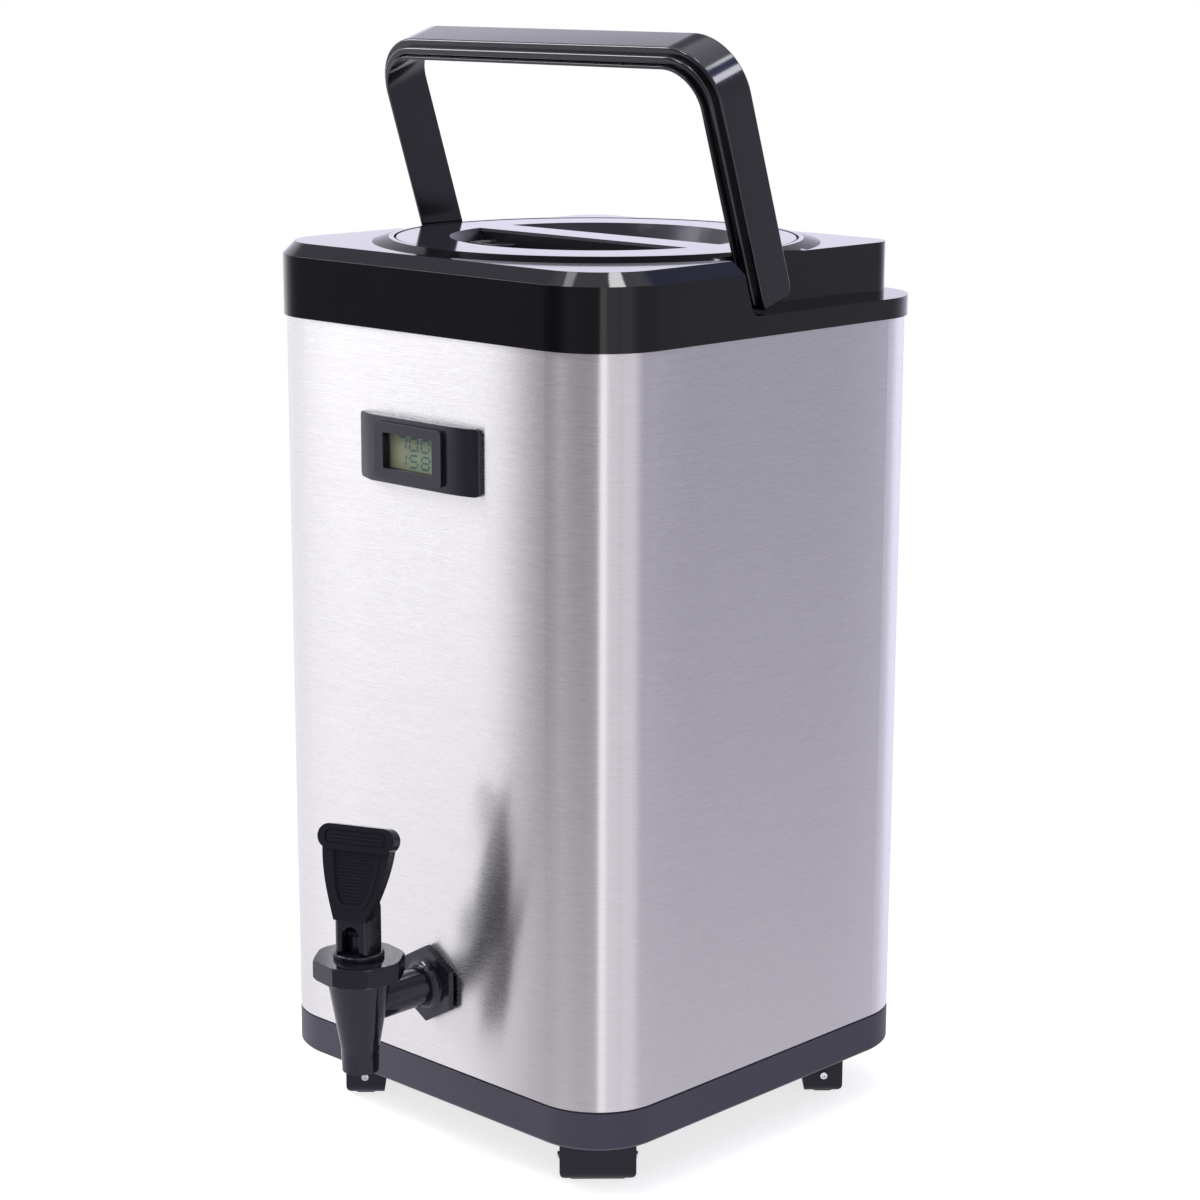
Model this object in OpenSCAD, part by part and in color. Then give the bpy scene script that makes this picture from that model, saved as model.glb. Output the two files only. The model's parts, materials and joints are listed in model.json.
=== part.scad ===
// Insulated beverage dispenser: a square steel-clad vessel with a lift-out lid,
// a folding carry handle, a digital thermometer and a spring-closed lever tap.
// Millimetres, +Z up. The origin is on the counter under the body's centre.
// The tap and the thermometer face -Y.

/* [Body] */
// Width and depth of the square body
body_w = 230; // [222:1:240]
// Radius of the body's upright corners
body_corner_r = 34.7; // [30:0.1:38]
// Height of the outer steel shell
shell_h = 348.6; // [320:0.1:400]
// Thickness of the outer steel sheet
shell_wall = 0.8; // [0.5:0.1:1.2]
// Thickness of the foam between the shell and the vessel
foam_wall = 22; // [20:0.5:24]

/* [Vessel] */
// Thickness of the vessel's steel sheet
liner_wall = 0.8; // [0.5:0.1:1.2]
// Outer radius of the vessel's upright corners
liner_corner_r = 25; // [18:1:32]
// Thickness of the foam under the vessel
foam_floor = 12; // [8:0.5:15]
// Depth of the vessel's roof below the top of the shell
liner_roof_drop = 20; // [15:0.5:30]

/* [Base and feet] */
// Height of the base tray
base_h = 19.2; // [16:0.1:24]
// Thickness of the base tray's wall
base_wall = 3.5; // [3:0.1:4.5]
// Thickness of the base tray's floor
base_floor = 3; // [2.5:0.1:4]
// Height of the tongue that stands inside the shell
base_tongue_h = 6; // [4:0.5:8]
// Height and depth of the shadow line under the shell
seam_gap = 1; // [0.6:0.1:1.4]
// Chamfer round the base tray's lower edge
base_chamfer = 1.4; // [0.8:0.1:2.5]
// Height from the counter to the base tray
foot_h = 25.5; // [20:0.1:32]
// Length of a foot across the corner
foot_len = 36; // [30:0.5:42]
// Depth of a foot at the counter, along the diagonal
foot_depth = 19; // [16:0.5:22]
// Run of a foot's sloped inner face
foot_slope = 4; // [2:0.5:6]
// Distance from the body's corner to a foot's outer face
foot_inset = 23.3; // [18:0.1:30]
// Rounding along a foot's lower edges
foot_edge_r = 4; // [2:0.5:5]
// Thickness of a foot's rubber pad
pad_h = 2.5; // [2:0.1:3.5]
// How far a pad stands below its foot
pad_proud = 1; // [0.6:0.1:1.5]
// Height of a foot's cross bolt above the counter
foot_bolt_z = 10; // [9:0.5:14]
// Radius of a foot's cross bolt
foot_bolt_r = 1.2; // [1:0.1:1.5]

/* [Collar] */
// Overhang of the collar past the shell
collar_over = 1.5; // [1:0.1:2.5]
// Height of the collar's upright face
collar_face_h = 28.8; // [27:0.1:31]
// Chamfer between the collar's face and its top
collar_chamfer = 5.8; // [4:0.1:7]
// Height of the ledge that the folded handle lies over
ledge_h = 9.6; // [8:0.1:11]
// Thickness of the collar's walls
collar_wall = 3.2; // [2.6:0.1:3.6]
// Depth of the handle recess in the collar's back
recess_back = 13.5; // [13:0.1:14]
// Radius of the recess's two back corners
recess_corner_r = 15; // [13:0.5:18]
// Height of the raised ring round the lid
ring_h = 2.2; // [1.5:0.1:2.6]
// Width of the raised ring's flat top
ring_top_w = 2.4; // [1.5:0.1:3]
// Width of the raised ring's sloped side
ring_slope_w = 8; // [6:0.1:9]

/* [Handle] */
// Forward lean of the raised handle
handle_lean = 18.3; // [14:0.1:22]
// Place of the handle's pivot along the depth
pivot_y = 3; // [2:0.1:4]
// Height of the handle's pivot above the ledge
pivot_rise = 11.9; // [11:0.1:12.6]
// Gap between the folded bar and the recess's back wall
fold_gap = 7.1; // [6.6:0.1:7.6]
// How far the handle's sides stand inside the collar's sides
handle_inset = 6; // [5.5:0.1:6.5]
// Gap between a leg and the side wall of the recess
leg_gap = 0.6; // [0.5:0.1:1]
// Width of the handle's outer face
handle_w = 20.2; // [19:0.1:21]
// Thickness of the handle's outer band
band_t = 3.3; // [2.8:0.1:3.6]
// Thickness of the handle's stepped middle
step_t = 3.6; // [3:0.1:3.8]
// Thickness of the handle's inner cover
cover_t = 1.4; // [1:0.1:1.6]
// How far the middle stands in front of the band
step_out = 3; // [2:0.1:3.4]
// How far the cover stands in front of the middle
cover_out = 2.4; // [1:0.1:2.6]
// Outer radius of the handle's two corners
handle_corner_r = 27; // [25:0.5:30]
// Length of a leg below the pivot
leg_drop = 8.5; // [8:0.1:9]
// Gap between the raised leg and the recess's front wall
stop_gap = 8.7; // [8:0.1:9.5]
// Radius of the handle's pivot pins
pin_r = 4; // [3.4:0.1:4.6]
// Radius of the round boss on the inside of each leg
boss_r = 8.4; // [7:0.1:9]

/* [Lid] */
// Distance from the shell's side to the lid's edge
lid_margin = 18.8; // [18:0.1:20]
// Width of the seat under the lid's rim
seat_w = 9.4; // [8.5:0.1:10.5]
// Gap round the lid
lid_gap = 0.4; // [0.3:0.05:0.6]
// Height of the lid's rim
lid_rim_h = 8; // [7:0.1:9]
// How far the lid stands above the collar
lid_proud = 2; // [1.5:0.1:2.4]
// Chamfer round the lid's top edge
lid_edge = 0.8; // [0.4:0.1:1.4]
// Width of the lid's flat rim round the dish
rim_w = 26.2; // [23:0.1:30]
// Depth of the dish below the grip bar
dish_depth = 16; // [14:0.5:18]
// Slope of the dish's wall, measured along the radius
dish_slope = 9; // [6:0.5:10]
// Width of the grip bar
grip_w = 24; // [20:0.5:26]
// Thickness of the lid's skins
lid_skin = 2.4; // [2:0.1:2.8]
// Depth of the lid's plug below the rim
plug_h = 38; // [32:0.5:42]
// Gap between the lid's plug and the mouth
plug_gap = 2.6; // [2:0.1:4]
// Height of the plug's sealing ring
seal_h = 6; // [4:0.5:8]
// Gap between the sealing ring and the mouth
seal_gap = 0.3; // [0.3:0.05:0.5]

/* [Air vent] */
// Length of the vent lever
vent_len = 21; // [19:0.5:22]
// Width of the vent lever
vent_w = 12; // [10:0.5:13]
// Thickness of the vent lever
vent_t = 2.6; // [2.2:0.1:3]
// Depth of the vent lever's top below the lid's top
vent_drop = 5; // [4.5:0.1:6]
// Distance from the dish's edge to the vent's hinge
vent_inset = 15; // [14:0.5:18]
// Gap between the grip bar's side and the vent's post
vent_gap = 2; // [1:0.1:2.5]
// Radius of the vent's air hole
vent_hole_r = 2; // [1.5:0.1:2.5]

/* [Tap] */
// Tap's place to the right of the body's centre line
tap_x = 4; // [-8:0.5:8]
// Height of the tap's shank above the counter
tap_z = 84.8; // [84:0.1:96]
// Distance from the shell to the axis of the spout
tap_reach = 45.5; // [42:0.5:55]
// Radius of the tap's shank
shank_r = 9.2; // [8.8:0.1:10]
// Radius of the tail that goes through the wall
tail_r = 8; // [7.5:0.1:8.5]
// Radius of the water way through the shank
water_r = 5; // [4:0.1:5.5]
// Width across the flats of the flange at the wall
flange_af = 32.5; // [30:0.1:36]
// Thickness of the flange at the wall
flange_t = 3; // [2.5:0.1:4]
// Thickness of the rubber gaskets on both sides of the wall
gasket_t = 1.2; // [1:0.1:2]
// Thickness of the lock nut inside the vessel
nut_t = 7; // [5:0.5:9]
// Width across the flats of the lock nut
nut_af = 25; // [22:0.5:26]
// Radius of the spout at the top
spout_top_r = 15.2; // [15:0.1:16]
// Radius of the spout where it turns straight
spout_kink_r = 9; // [8.6:0.1:10]
// Radius of the spout at its lower end
spout_end_r = 8.6; // [8:0.1:9]
// Radius of the outlet bore
outlet_r = 6; // [5:0.1:6.5]
// Height of the bonnet's underside above the shank's axis
bonnet_rise = 15.2; // [14.5:0.1:17]
// Drop from the shank's axis to the kink in the spout
kink_drop = 20; // [18:0.1:24]
// Drop from the shank's axis to the end of the spout
spout_drop = 31.1; // [28:0.1:38]
// Width across the flats of the bonnet
bonnet_af = 40; // [38:0.1:42]
// Turn of the bonnet's flats about the spout's axis
bonnet_turn = -8; // [-22:1:22]
// Height of the bonnet
bonnet_h = 9.3; // [9:0.1:11]

/* [Tap lever] */
// Turn of the lever about the spout's axis
lever_turn = 24; // [0:1:45]
// Radius of the ring under the lever
ring_r = 11.9; // [11.6:0.1:13]
// Height of the ring under the lever
ring_t = 2.7; // [2.5:0.1:4]
// Width of the lever's neck
neck_w = 17; // [16:0.1:18]
// Depth of the lever's neck
neck_d = 18; // [17.5:0.1:19]
// Height of the lever's neck
neck_h = 17; // [16.5:0.1:19]
// Width of the slot through the lever's neck
slot_w = 8.6; // [8:0.1:9]
// Height of the lever's pin above the ring
lever_pin_rise = 8; // [7.6:0.1:8.4]
// Radius of the lever's pin
lever_pin_r = 1.8; // [1.5:0.1:2]
// Height of the paddle with its roll, above the neck
paddle_h = 43.9; // [40:0.1:48]
// Width of the paddle at the neck
paddle_foot_w = 16; // [14:0.1:18]
// Width of the paddle below the roll
paddle_w = 34.2; // [32:0.1:36]
// Backward lean of the paddle
paddle_lean = 15; // [10:0.5:18]
// Thickness of the paddle
paddle_t = 6.5; // [6:0.1:7]
// Length of the roll along the paddle's top
roll_w = 38.4; // [37:0.1:40]
// Height of the roll
roll_h = 11.6; // [10.5:0.1:12.5]
// Depth of the roll from front to back
roll_d = 7.5; // [7:0.1:9]
// Width of the thumb recess at its top
thumb_w = 22; // [20:0.5:23]
// Height of the thumb recess
thumb_h = 24.8; // [22:0.1:26]
// Depth of the thumb recess
thumb_depth = 1.4; // [1:0.1:1.8]
// Number of fine ribs in the thumb recess
thumb_ribs = 15; // [10:1:18]
// Radius of the valve's stem
stem_r = 4.9; // [4.6:0.1:5.1]

/* [Thermometer] */
// Width of the thermometer's housing
gauge_w = 81; // [76:0.5:86]
// Height of the thermometer's housing
gauge_h = 31; // [29:0.5:34]
// Height of the thermometer's centre above the shell's foot
gauge_rise = 294.1; // [260:0.1:296]
// Depth of the housing in front of the shell
gauge_t = 5.5; // [5:0.1:6.5]
// Width of the raised bezel
bezel_w = 45; // [42:0.5:47]
// Height of the raised bezel
bezel_h = 26; // [24:0.5:27]
// Height of the bezel above the housing
bezel_t = 2; // [1.5:0.1:2.6]
// Width of the display's opening
window_w = 33; // [30:0.5:34]
// Height of the display's opening
window_h = 16.6; // [15:0.1:17]
// Depth of the housing's back box in the wall
gauge_box_d = 13; // [11:0.5:14]

/* [Hidden] */
$fn = 96;
// Length that carries a cutter past everything
far = 600;
// Small overrun that carries a cutter through a face
through = 2;

// Fits between pieces
fit_gap = 0.2;
run_fit = 0.05;
move_gap = 0.4;

// Levels from the counter up
base_z = foot_h;
shell_z = base_z + base_h;
foam_z = shell_z + base_tongue_h;
liner_z = foam_z + foam_floor;
collar_z = shell_z + shell_h;
liner_roof_z = collar_z - liner_roof_drop;
ledge_z = collar_z + ledge_h;
face_z = collar_z + collar_face_h;
collar_top_z = face_z + collar_chamfer;
lid_top_z = collar_top_z + lid_proud;
seat_z = lid_top_z - lid_rim_h;
neck_top_z = seat_z - 3.4;
pivot_z = ledge_z + pivot_rise;
gauge_z = shell_z + gauge_rise;

// Half widths from the axis out
body_half = body_w / 2;
shell_in = body_half - shell_wall;
foam_r = body_corner_r - shell_wall;
liner_half = shell_in - foam_wall;
liner_in = liner_half - liner_wall;
base_in = body_half - base_wall;
collar_half = body_half + collar_over;
collar_r = body_corner_r + collar_over;
recess_y = collar_half - recess_back;

// Mouth and lid
lid_r = body_half - lid_margin;
mouth_r = lid_r - seat_w;
plug_r = mouth_r - plug_gap;
dish_r = lid_r - rim_w;
neck_r = mouth_r + liner_wall;
throat_r = neck_r + move_gap;
tube_r = throat_r + collar_wall;
mouth_seal_r = tube_r - 0.8;
seat_r = lid_r + lid_gap;
dish_z = lid_top_z - dish_depth;
dish_floor_r = dish_r - dish_slope;
plug_z = seat_z - plug_h;
seal_r = mouth_r - seal_gap;
seal_z = seat_z - plug_h / 2;
seal_groove = 1.4;
grip_edge = 1.2;

// Handle
half_w = handle_w / 2;
inner_d = band_t + step_t;
handle_t = inner_d + cover_t;
handle_half = collar_half - handle_inset;
recess_x = handle_half - handle_t - leg_gap;
recess_fillet = 5;
handle_reach = recess_y + fold_gap + handle_t - pivot_y;
handle_front = half_w + step_out + cover_out;
leg_end_r = 5.5;
step_drop = 5.6;
boss_in = handle_half - handle_t;
pin_tip = handle_half - 2.4;
pin_boss_in = recess_x - collar_wall - 7;

// Air vent
vent_hinge_x = dish_r - vent_inset;
vent_y = -(grip_w / 2 + vent_gap + 3 + vent_w / 2);
vent_top_z = lid_top_z - vent_drop;
vent_pad_t = 1;
vent_post_z = vent_top_z - vent_t - vent_pad_t;
vent_hinge_z = vent_top_z - vent_t / 2;
vent_knuckle_r = vent_t / 2 + 0.5;
vent_pin_r = 0.9;
vent_ear_t = 2;
vent_hole_x = -vent_hinge_x + vent_len * 0.6;
vent_tube_r = vent_hole_r + 1.2;

// Feet
corner_reach = (body_half - body_corner_r) * sqrt(2) + body_corner_r;
foot_reach = corner_reach - foot_inset;
foot_mid = foot_reach - foot_depth / 2;
foot_screw_r = 1.8;
bolt_head_r = 1.8;
bolt_head_t = 1;

// Tap
wall_y = -body_half;
tap_y = wall_y - tap_reach;
kink_z = tap_z - kink_drop;
spout_z = tap_z - spout_drop;
bonnet_z = tap_z + bonnet_rise;
bonnet_top_z = bonnet_z + bonnet_h;
bonnet_roof_z = bonnet_z + 4.2;
chamber_r = 9.2;
valve_seat_z = tap_z - 8;
cup_r = chamber_r - move_gap;
cup_h = 10;
stem_flange_t = 1.6;
spring_z = valve_seat_z + cup_h + stem_flange_t;
stem_bore_r = stem_r + 0.3;
spigot_r = 7.5;
spigot_h = 1.4;
body_rim_r = spout_top_r - 0.6;
flange_y = wall_y - gasket_t;
tail_end_y = -liner_in + gasket_t + nut_t + 2;
flare_r = 4.4;

// Tap lever
ring_top_z = bonnet_top_z + ring_t;
lever_pin_z = ring_top_z + lever_pin_rise;
lever_gap = 0.3;
foot_z = ring_top_z + lever_gap;
lip_z = ring_top_z + neck_h;
lever_top_z = lip_z + paddle_h;
roll_z = lever_top_z - roll_h / 2;
paddle_y = -neck_d / 2 - 1;
roll_y = paddle_y - 1.6;
eye_t = slot_w - 1.2;
eye_r = slot_w / 2 - 0.7;
lever_foot_r = 2;
neck_corner_r = 3;
lever_pin_half = slot_w / 2 + 3;
thumb_rim_w = 1.8;
thumb_rim_h = 0.5;
thumb_top_z = lever_top_z - roll_h - 0.1;
thumb_z = thumb_top_z - thumb_h;
rib_pitch = thumb_h / (thumb_ribs + 1);

// Thermometer
gauge_left = -gauge_w / 2 + 0.5;
gauge_right = gauge_left + gauge_w;
gauge_flat_left = gauge_left + 12;
gauge_flat_right = gauge_right - 21;
gauge_edge_t = 0.9;
gauge_corner_r = 2.5;
gauge_skin = 2.3;
gauge_box_w = 58;
gauge_box_h = 22;
gauge_box_wall = 1.8;
bezel_x = -1;
bezel_r = 2.4;
lcd_t = 2;
lcd_lap = 2;
lens_t = 0.8;
board_t = 1.2;
cell_r = 8;
cell_t = 3.2;
probe_r = 2;
probe_foot_r = 5;
probe_foot_t = 1;

// Shared shapes

// Outline of a rectangle with round corners
module rounded_plan(w, d, r) {
    square([w - 2 * r, d], center = true);
    square([w, d - 2 * r], center = true);
    for (sx = [-1, 1], sy = [-1, 1])
        translate([sx * (w / 2 - r), sy * (d / 2 - r)])
            circle(r);
}

// Straight block with a rounded square plan
module rounded_block(half, r, z0, z1) {
    translate([0, 0, z0])
        linear_extrude(z1 - z0)
            rounded_plan(2 * half, 2 * half, r);
}

// Block with a rounded square plan; its sides follow [inset, z] points from the bottom up
module profiled_block(half, r, sides) {
    last = len(sides) - 1;
    core = half - r;
    right = [for (p = sides) [half - p[0], p[1]]];
    left = [for (i = [last : -1 : 0]) [sides[i][0] - half, sides[i][1]]];
    for (turn = [0, 90])
        rotate([90, 0, turn])
            linear_extrude(2 * core, center = true)
                polygon(concat(right, left));
    for (sx = [-1, 1], sy = [-1, 1])
        translate([sx * core, sy * core, 0])
            rotate_extrude()
                polygon(concat(
                    [[0, sides[0][1]]],
                    [for (p = sides) [r - p[0], p[1]]],
                    [[0, sides[last][1]]]));
}

// Upright ring between two levels
module ring(outer, inner, z0, z1) {
    translate([0, 0, z0])
        linear_extrude(z1 - z0)
            difference() {
                circle(outer);
                circle(inner);
            }
}

// Round rod along X
module rod_x(r, x0, x1) {
    translate([x0, 0, 0])
        rotate([0, 90, 0])
            cylinder(h = x1 - x0, r = r);
}

// Round rod along Y
module rod_y(r, y0, y1) {
    translate([0, y1, 0])
        rotate([90, 0, 0])
            cylinder(h = y1 - y0, r = r);
}

// Hexagonal plate along Y with a corner at the top
module hex_y(across, y0, y1) {
    translate([0, y1, 0])
        rotate([90, 30, 0])
            cylinder(h = y1 - y0, d = across / cos(30), $fn = 6);
}

// Round-ended bar standing upright in a front view
module obround(w, h) {
    square([w - h, h], center = true);
    for (sx = [-1, 1])
        translate([sx * (w - h) / 2, 0])
            circle(h / 2);
}

// A front view given a depth, its front face at front_y
module front_slab(front_y, depth) {
    translate([0, front_y + depth, 0])
        rotate([90, 0, 0])
            linear_extrude(depth)
                children();
}

// Both sides of the body, left and right
module both_sides() {
    for (side = [0, 1])
        mirror([side, 0, 0])
            children();
}

// The four corners of the body, along the diagonals
module each_corner() {
    for (turn = [45, 135, 225, 315])
        rotate(turn)
            children();
}

// The handle's own frame: its pivot line, leaning with the raised handle
module at_pivot() {
    translate([0, pivot_y, pivot_z])
        rotate([handle_lean, 0, 0])
            children();
}

// The tap's shank line at the wall
module at_shank() {
    translate([tap_x, 0, tap_z])
        children();
}

// The spout's upright axis
module at_spout() {
    translate([tap_x, tap_y, 0])
        children();
}

// The turned lever's frame, its front towards -Y
module at_lever() {
    translate([tap_x, tap_y, 0])
        rotate(lever_turn)
            children();
}

// Shell, vessel and foam

// Box in the wall behind the thermometer, grown by a gap
module gauge_box(gap) {
    translate([-gauge_box_w / 2 - gap, wall_y - through, gauge_z - gauge_box_h / 2 - gap])
        cube([gauge_box_w + 2 * gap, gauge_box_d + through, gauge_box_h + 2 * gap]);
}

module outer_shell() {
    color("#c9c9d2")
        difference() {
            rounded_block(body_half, body_corner_r, shell_z, collar_z);
            rounded_block(shell_in, foam_r, shell_z - through, collar_z + through);
            at_shank()
                rod_y(tail_r + fit_gap, wall_y - through, -shell_in + through);
            gauge_box(fit_gap);
        }
}

// The vessel's outside, down to its last sheet
module liner_solid() {
    rounded_block(liner_half, liner_corner_r, liner_z, liner_roof_z);
    translate([0, 0, liner_z + liner_wall])
        cylinder(h = neck_top_z - liner_z - liner_wall, r = neck_r);
}

module inner_liner() {
    color("#d6d6da")
        difference() {
            liner_solid();
            rounded_block(
                liner_in, liner_corner_r - liner_wall,
                liner_z + liner_wall, liner_roof_z - liner_wall);
            translate([0, 0, liner_roof_z - 2 * through])
                cylinder(h = far, r = mouth_r);
            at_shank()
                rod_y(tail_r + fit_gap, -liner_half - through, -liner_in + through);
        }
}

// Foam below the vessel
module foam_base() {
    color("#e6d9a8")
        rounded_block(shell_in, foam_r, foam_z, liner_z);
}

// Foam round the vessel's sides
module foam_jacket() {
    color("#e9ddb0")
        difference() {
            rounded_block(shell_in, foam_r, liner_z, liner_roof_z);
            rounded_block(liner_half, liner_corner_r, liner_z - through, liner_roof_z + through);
            at_shank()
                rod_y(tail_r, wall_y - through, -liner_half + through);
            gauge_box(0);
            temperature_probe();
        }
}

// Foam above the vessel's roof and in the collar
module foam_crown() {
    color("#e3d5a2")
        difference() {
            union() {
                rounded_block(shell_in, foam_r, liner_roof_z, collar_z);
                collar_cavity();
            }
            translate([0, 0, liner_roof_z - through])
                cylinder(h = far, r = neck_r);
            gauge_box(0);
            temperature_probe();
        }
}

// Collar

// Plan of the collar inside the handle recess, shrunk by an inset
module upper_plan(inset) {
    half = recess_x - inset;
    back = recess_y - inset;
    r = recess_corner_r - inset;
    translate([-half, -far])
        square([2 * half, far + back - r]);
    translate([r - half, -far])
        square([2 * (half - r), far + back]);
    for (sx = [-1, 1])
        translate([sx * (half - r), back - r])
            circle(r);
}

// Side view of the recess: its floor, its leaning front wall and the rounded corner between
module recess_side() {
    front = handle_front + stop_gap;
    slope = tan(handle_lean);
    foot_y = pivot_y - front / cos(handle_lean) + (pivot_z - ledge_z) * slope;
    round_z = ledge_z + recess_fillet;
    round_y = foot_y - recess_fillet * slope + recess_fillet / cos(handle_lean);
    meet_y = round_y - recess_fillet * cos(handle_lean);
    meet_z = round_z - recess_fillet * sin(handle_lean);
    polygon([
        [round_y, ledge_z], [far, ledge_z], [far, far],
        [foot_y - (far - ledge_z) * slope, far], [meet_y, meet_z]]);
    translate([round_y, round_z])
        circle(recess_fillet);
}

// Space above the ledge where the folded handle lies
module handle_recess() {
    difference() {
        rotate([90, 0, 90])
            linear_extrude(2 * far, center = true)
                recess_side();
        linear_extrude(2 * far, center = true)
            upper_plan(0);
    }
}

// Hollow underside of the collar, filled by the foam
module collar_cavity() {
    inside = collar_half - collar_wall;
    inside_r = collar_r - collar_wall;
    difference() {
        union() {
            rounded_block(inside, inside_r, collar_z - through, ledge_z - collar_wall);
            translate([0, 0, collar_z - through])
                linear_extrude(seat_z - collar_wall - collar_z + through)
                    intersection() {
                        rounded_plan(2 * inside, 2 * inside, inside_r);
                        upper_plan(collar_wall);
                    }
        }
        translate([0, 0, collar_z - 2 * through])
            cylinder(h = far, r = tube_r);
        translate([0, pivot_y, pivot_z])
            both_sides()
                rod_x(pin_r + collar_wall, throat_r + through, recess_x);
    }
}

module top_collar() {
    ring_top_r = seat_r + ring_top_w;
    ring_foot_r = ring_top_r + ring_slope_w;
    color("#17171a")
        difference() {
            union() {
                profiled_block(
                    collar_half, collar_r,
                    [[0, collar_z], [0, face_z], [collar_chamfer, collar_top_z]]);
                rotate_extrude()
                    polygon([
                        [throat_r, face_z], [ring_foot_r, face_z], [ring_foot_r, collar_top_z],
                        [ring_top_r, collar_top_z + ring_h], [throat_r, collar_top_z + ring_h]]);
            }
            handle_recess();
            collar_cavity();
            translate([0, 0, collar_z - through])
                cylinder(h = far, r = throat_r);
            translate([0, 0, neck_top_z])
                cylinder(h = far, r = mouth_seal_r);
            translate([0, 0, seat_z])
                cylinder(h = far, r = seat_r);
            translate([0, pivot_y, pivot_z])
                both_sides()
                    rod_x(pin_r, pin_boss_in, recess_x + through);
        }
}

module mouth_seal() {
    color("#e8e8e4")
        ring(mouth_seal_r, mouth_r, neck_top_z, seat_z);
}

module handle_pins() {
    color("#9a9aa0")
        translate([0, pivot_y, pivot_z])
            both_sides()
                rod_x(pin_r, pin_boss_in, pin_tip);
}

// Base and feet

module base_tray() {
    rib_t = base_floor;
    color("#2b2b31")
        difference() {
            union() {
                difference() {
                    union() {
                        profiled_block(
                            body_half, body_corner_r,
                            [[base_chamfer, base_z], [0, base_z + base_chamfer],
                             [0, shell_z - seam_gap], [seam_gap, shell_z - seam_gap],
                             [seam_gap, shell_z]]);
                        rounded_block(
                            shell_in - fit_gap, body_corner_r - shell_wall - fit_gap,
                            shell_z - seam_gap, foam_z);
                    }
                    rounded_block(
                        base_in, body_corner_r - base_wall, base_z + base_floor, foam_z + through);
                }
                for (turn = [0, 90])
                    rotate(turn)
                        translate([-base_in, -rib_t / 2, base_z])
                            cube([2 * base_in, rib_t, foam_z - base_z]);
            }
            each_corner()
                translate([foot_mid, 0, base_z - through])
                    cylinder(h = base_floor + 2 * through, r = foot_screw_r);
        }
}

module base_screws() {
    head_r = 3.4;
    head_t = 2.2;
    length = 12;
    color("#b8b8bd")
        each_corner()
            translate([foot_mid, 0, 0]) {
                translate([0, 0, base_z - length])
                    cylinder(h = length + base_floor, r = foot_screw_r);
                translate([0, 0, base_z + base_floor])
                    cylinder(h = head_t, r = head_r);
            }
}

// Side view of a foot along the diagonal
module foot_side() {
    inner = foot_reach - foot_depth;
    polygon([
        [inner, pad_proud], [foot_reach - foot_edge_r, pad_proud],
        [foot_reach, pad_proud + foot_edge_r], [foot_reach, base_z], [inner - foot_slope, base_z]]);
    translate([foot_reach - foot_edge_r, pad_proud + foot_edge_r])
        circle(foot_edge_r);
}

// End view of a foot across the diagonal
module foot_end() {
    half = foot_len / 2;
    low = pad_proud + foot_edge_r;
    translate([-half, low])
        square([foot_len, base_z - low]);
    translate([foot_edge_r - half, pad_proud])
        square([foot_len - 2 * foot_edge_r, foot_edge_r]);
    for (side = [-1, 1])
        translate([side * (half - foot_edge_r), low])
            circle(foot_edge_r);
}

// Rubber pad, let into the foot from below
module pad_block() {
    inset = foot_edge_r + 0.5;
    translate([foot_mid, 0, 0])
        linear_extrude(pad_h)
            rounded_plan(foot_depth - 2 * inset, foot_len - 2 * inset, 2);
}

module corner_foot(turn) {
    color("#202024")
        rotate(turn)
            difference() {
                intersection() {
                    rotate([90, 0, 0])
                        linear_extrude(foot_len, center = true)
                            foot_side();
                    rotate([90, 0, 90])
                        linear_extrude(far)
                            foot_end();
                }
                pad_block();
                translate([foot_mid, 0, foot_bolt_z])
                    rod_y(foot_bolt_r, -foot_len, foot_len);
                translate([foot_mid, 0, foot_bolt_z + 2 * foot_bolt_r])
                    cylinder(h = far, r = foot_screw_r);
            }
}

module foot_front_left() {
    corner_foot(225);
}

module foot_front_right() {
    corner_foot(315);
}

module foot_back_left() {
    corner_foot(135);
}

module foot_back_right() {
    corner_foot(45);
}

module foot_pads() {
    color("#3a3a3e")
        each_corner()
            pad_block();
}

module foot_bolts() {
    end = foot_len / 2 + bolt_head_t;
    socket_af = 1.6;
    socket_depth = 0.7;
    color("#c4c4c8")
        each_corner()
            translate([foot_mid, 0, foot_bolt_z])
                difference() {
                    union() {
                        rod_y(foot_bolt_r, -foot_len / 2, foot_len / 2);
                        rod_y(bolt_head_r, -end, -foot_len / 2);
                        rod_y(bolt_head_r, foot_len / 2, end);
                    }
                    hex_y(socket_af, -end - through, socket_depth - end);
                    hex_y(socket_af, end - socket_depth, end + through);
                }
}

// Handle

// Front view of the handle's U, shrunk by a depth from its outer face
module handle_outline(depth) {
    half = handle_half - depth;
    core = handle_half - handle_corner_r;
    straight = handle_reach - handle_corner_r;
    low = -handle_w;
    translate([-half, low])
        square([2 * half, straight - low]);
    translate([-core, low])
        square([2 * core, handle_reach - depth - low]);
    for (sx = [-1, 1])
        translate([sx * core, straight])
            circle(handle_corner_r - depth);
}

// Side view of a leg: all above the pivot, its end rounded at the back, and the steps in front
module leg_outline() {
    round_z = leg_end_r - leg_drop;
    translate([-far / 2, 0])
        square(far);
    translate([-half_w, -leg_drop])
        square([handle_w - leg_end_r, leg_drop + through]);
    translate([-half_w, round_z])
        square([handle_w, through - round_z]);
    translate([half_w - leg_end_r, round_z])
        circle(leg_end_r);
    translate([-handle_front, -step_drop])
        square([handle_front, step_drop + through]);
}

// A solid of the U cut out on its inside at a depth, and cut to the legs' side view
module handle_trim(inner) {
    intersection() {
        difference() {
            children();
            front_slab(-far / 2, far)
                handle_outline(inner);
        }
        rotate([90, 0, 90])
            linear_extrude(2 * far, center = true)
                leg_outline();
    }
}

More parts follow.
